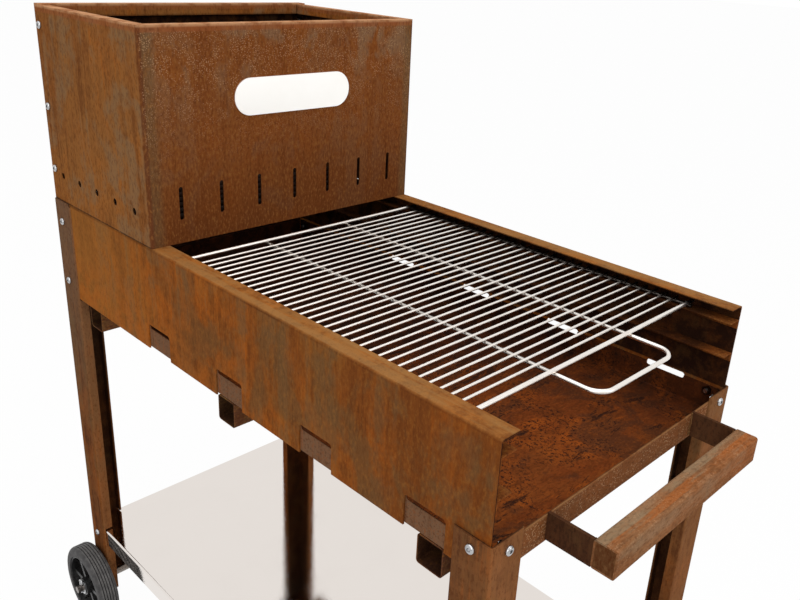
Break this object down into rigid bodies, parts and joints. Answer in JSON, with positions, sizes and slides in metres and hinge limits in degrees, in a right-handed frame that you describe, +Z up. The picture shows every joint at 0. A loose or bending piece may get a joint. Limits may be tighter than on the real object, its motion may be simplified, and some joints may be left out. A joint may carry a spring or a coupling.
{
  "type": "corten steel wood grill",
  "caption": "Wheeled corten steel wood grill: open trough with a sliding stainless grate, a firebox at one end, a handle bar at the other and a storage shelf below.",
  "frame": {"origin": "on the ground, under the middle of the whole grill", "axes": "+Z up, +X towards the open end with the handle, Y across (-Y is left, seen from the open end)"},
  "size_m": [0.992, 0.5518, 1.044],
  "materials": {
    "corten": "matte rust layer on weathering steel",
    "stainless": "satin stainless steel",
    "zinc": "bright zinc plate",
    "plate": "satin, bare",
    "tyre": "matte solid rubber",
    "rim": "moulded, matte"
  },
  "bodies": {
    "frame": {"floor_pan": "corten", "trough_end_wall": "corten", "handle_bar": "corten", "firebox_shell": "corten", "firebox_rear_panel": "corten", "cross_tube_front": "corten", "cross_tube_middle": "corten", "cross_tube_rear": "corten", "side_wall_left": "corten", "side_wall_right": "corten", "ledge_upper_left": "corten", "ledge_upper_right": "corten", "ledge_lower_left": "corten", "ledge_lower_right": "corten", "leg_rear_left": "corten", "leg_rear_right": "corten", "leg_front_left": "corten", "leg_front_right": "corten", "handle_bracket_left": "corten", "handle_bracket_right": "corten", "handle_cap_left": "corten", "handle_cap_right": "corten", "storage_shelf": "stainless", "wheel_axle": "zinc", "wheel_spacers": "zinc", "wheel_washers": "zinc", "wheel_pins": "zinc", "leg_bolts": "zinc", "leg_nuts": "zinc", "shelf_bolts": "zinc", "shelf_nuts": "zinc", "firebox_bolts": "zinc", "firebox_nuts": "zinc", "front_plate": "plate"},
    "wheel_left": {"tyre_left": "tyre", "rim_left": "rim"},
    "wheel_right": {"tyre_right": "tyre", "rim_right": "rim"},
    "cooking_grate": {"grate_bars": "stainless", "grate_end_bars": "stainless", "grate_side_rods": "stainless", "grate_pull_rod": "stainless"},
    "ember_grate": {"ember_bars": "corten", "ember_rods": "corten"}
  },
  "joints": [
    {"name": "wheel_left_spin", "type": "hinge", "parent": "frame", "child": "wheel_left", "pos_m": [-0.425, -0.2475, 0.071], "axis": [0, 1, 0], "continuous": true},
    {"name": "wheel_right_spin", "type": "hinge", "parent": "frame", "child": "wheel_right", "pos_m": [-0.425, 0.2475, 0.071], "axis": [0, 1, 0], "continuous": true},
    {"name": "cooking_grate_slide", "type": "slide", "parent": "frame", "child": "cooking_grate", "axis": [1, 0, 0], "range_m": [-0.03, 0.5]},
    {"name": "ember_grate_lift", "type": "slide", "parent": "frame", "child": "ember_grate", "axis": [0, 0, 1], "range_m": [0, 0.3]}
  ]
}
